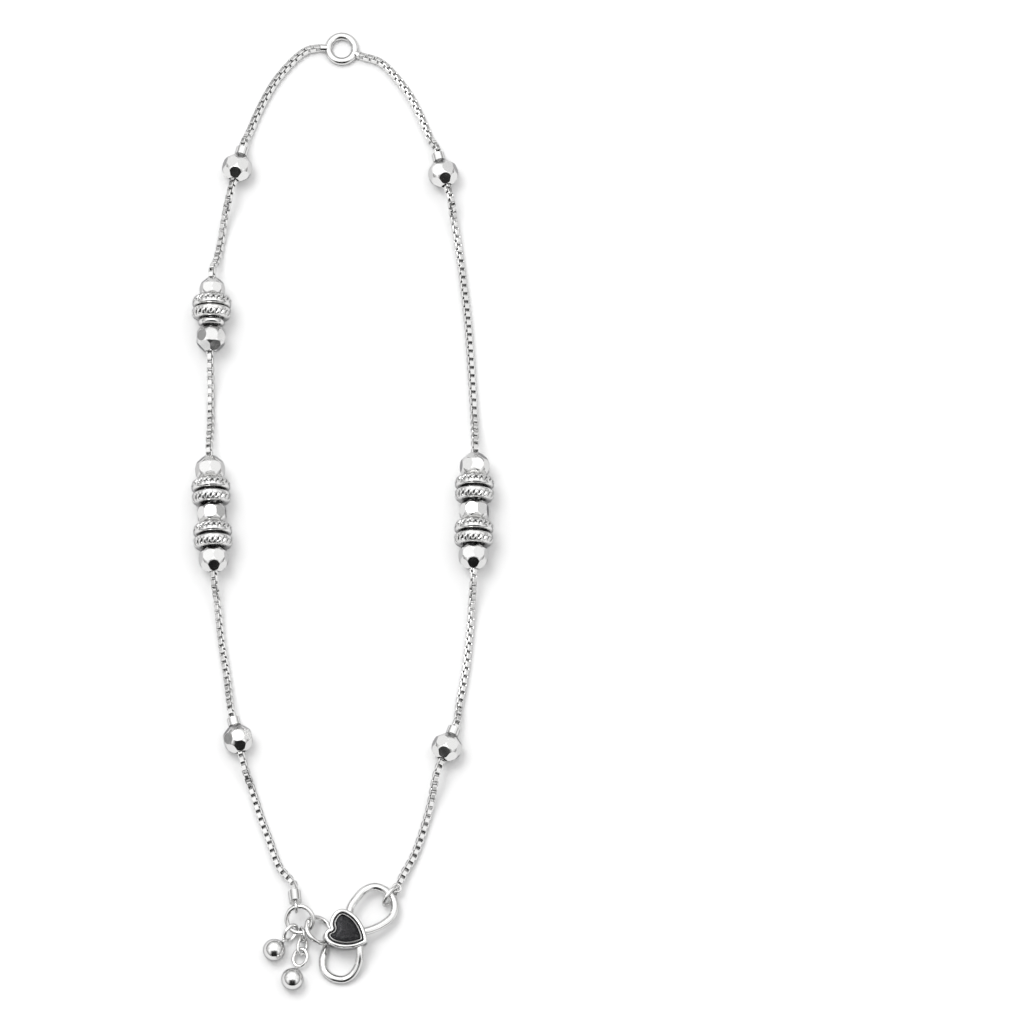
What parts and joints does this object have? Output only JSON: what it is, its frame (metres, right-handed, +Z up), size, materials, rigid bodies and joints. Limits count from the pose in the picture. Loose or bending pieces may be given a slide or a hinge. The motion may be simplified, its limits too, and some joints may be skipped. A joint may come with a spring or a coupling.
{
  "type": "payal anklet",
  "caption": "Silver payal anklet laid open as a closed loop: box chains with faceted beads and rope-twisted rings, a plain top ring, and a heart S hook with jump rings and drops.",
  "frame": {"origin": "middle of the open loop on the table, at the base of the bounding box", "axes": "+Y towards the plain top ring, the heart clasp towards -Y, +X to the loop's right seen from above, +Z up from the table"},
  "size_m": [0.04, 0.1323, 0.0052],
  "materials": {
    "silver": "polished silver",
    "blackened_silver": "blackened silver, slightly speckled"
  },
  "bodies": {
    "root": {"top_ring": "silver", "bead_upper_left": "silver", "collar_upper_left": "silver", "bead_upper_right": "silver", "collar_upper_right": "silver", "bead_lower_left": "silver", "collar_lower_left": "silver", "bead_lower_right": "silver", "collar_lower_right": "silver", "small_bead": "silver", "small_rope_1": "silver", "small_rope_2": "silver", "small_washer": "silver", "small_end_bead": "silver", "left_bead_1": "silver", "left_rope_1": "silver", "left_rope_2": "silver", "left_bead_2": "silver", "left_rope_3": "silver", "left_rope_4": "silver", "left_bead_3": "silver", "right_bead_1": "silver", "right_rope_1": "silver", "right_rope_2": "silver", "right_bead_2": "silver", "right_rope_3": "silver", "right_rope_4": "silver", "right_bead_3": "silver", "chain_left": "silver", "chain_right": "silver", "end_cap": "silver", "jump_ring": "silver", "catch_ring": "silver", "drop_1": "silver", "drop_2_link_a": "silver", "drop_2_link_b": "silver", "drop_2": "silver", "chain_end_link": "silver", "clasp": "silver", "heart_face": "blackened_silver"}
  },
  "joints": []
}
